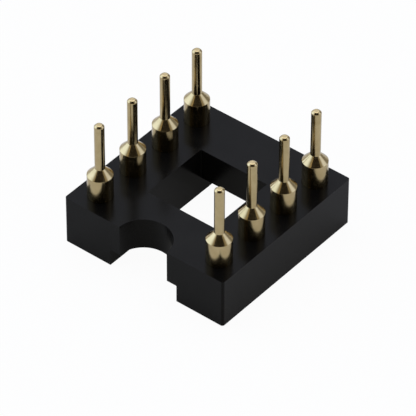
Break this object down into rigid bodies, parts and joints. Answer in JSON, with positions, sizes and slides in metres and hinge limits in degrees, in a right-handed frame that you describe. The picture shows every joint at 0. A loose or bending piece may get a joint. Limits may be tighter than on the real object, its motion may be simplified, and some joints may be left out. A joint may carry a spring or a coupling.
{
  "type": "ic socket",
  "caption": "Dual in-line chip socket: open moulded frame with turned contacts that take the chip's leads on one face and end in solder tails on the other.",
  "frame": {"origin": "middle of the mating face, at the foot of the whole object", "axes": "+Z out of the solder face along the tails, X across the two rows, -Y towards the notched end"},
  "size_m": [0.0102, 0.0102, 0.0074],
  "materials": {
    "housing": "satin black",
    "sleeve": "pale gold plate on turned brass",
    "clip": "gold plated spring strip"
  },
  "bodies": {
    "root": {"housing": "housing", "contact_sleeve_1": "sleeve", "contact_sleeve_2": "sleeve", "contact_sleeve_3": "sleeve", "contact_sleeve_4": "sleeve", "contact_sleeve_5": "sleeve", "contact_sleeve_6": "sleeve", "contact_sleeve_7": "sleeve", "contact_sleeve_8": "sleeve", "contact_clip_1": "clip", "contact_clip_2": "clip", "contact_clip_3": "clip", "contact_clip_4": "clip", "contact_clip_5": "clip", "contact_clip_6": "clip", "contact_clip_7": "clip", "contact_clip_8": "clip"}
  },
  "joints": []
}
